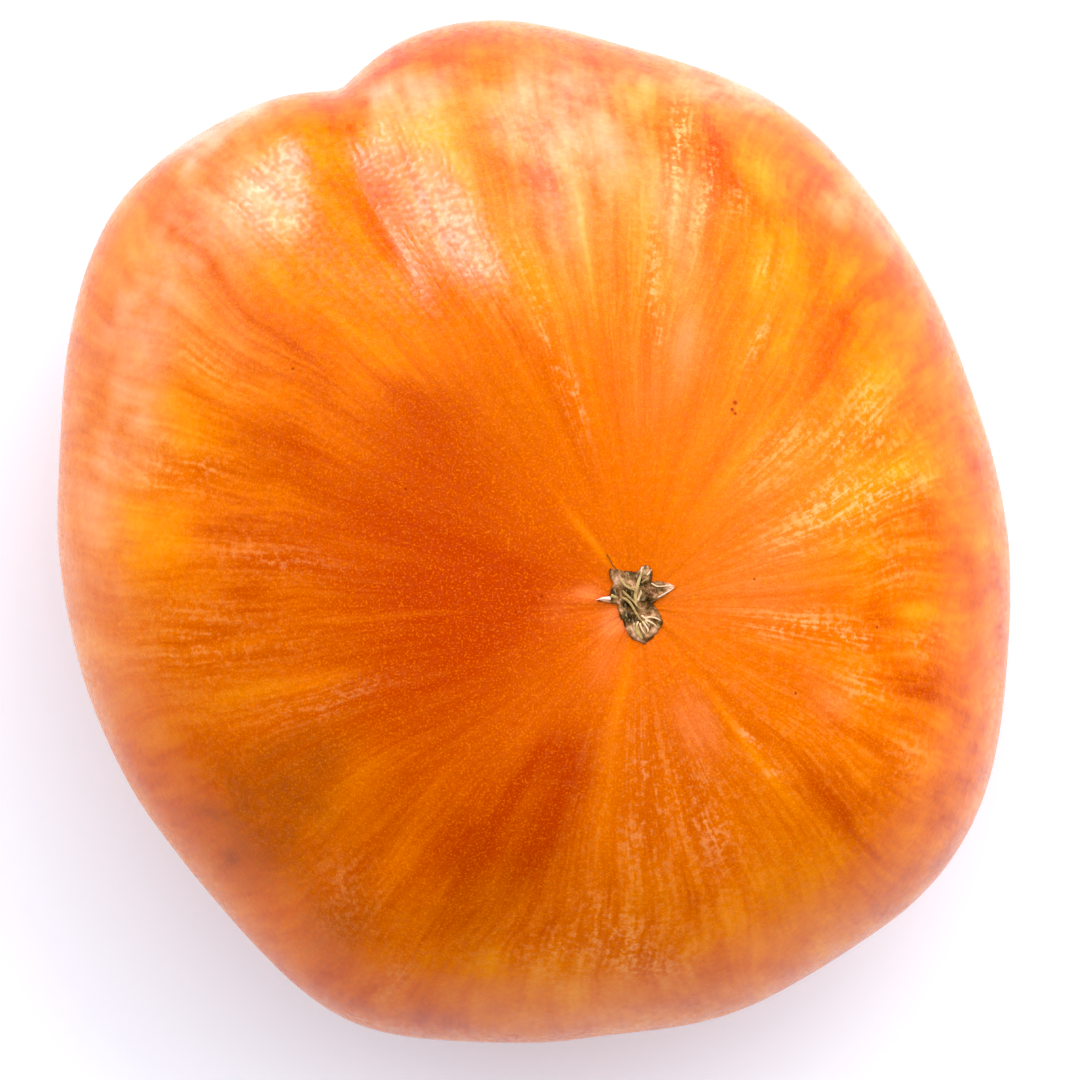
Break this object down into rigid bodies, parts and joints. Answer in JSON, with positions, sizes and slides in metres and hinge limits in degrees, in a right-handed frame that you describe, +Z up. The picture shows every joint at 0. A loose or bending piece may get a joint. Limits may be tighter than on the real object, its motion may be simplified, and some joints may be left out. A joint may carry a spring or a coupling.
{
  "type": "heirloom tomato",
  "caption": "Whole ribbed beefsteak tomato with marbled orange skin, lying on its stem end, for food scenes and grasping tasks.",
  "frame": {"origin": "middle of the footprint's bounding box, on the surface that the fruit rests on", "axes": "+Z up through the blossom end, which is the shortest extent; +Y along the longest extent, towards the cleft; +X across"},
  "size_m": [0.0996, 0.1074, 0.0697],
  "materials": {
    "skin": "satin tomato skin, marbled orange, gold and red",
    "dried_flower": "dry, papery, brown and grey",
    "cork": "rough tan cork"
  },
  "bodies": {
    "root": {"fruit": "skin", "blossom_scar": "dried_flower", "stem_scar": "cork"}
  },
  "joints": []
}
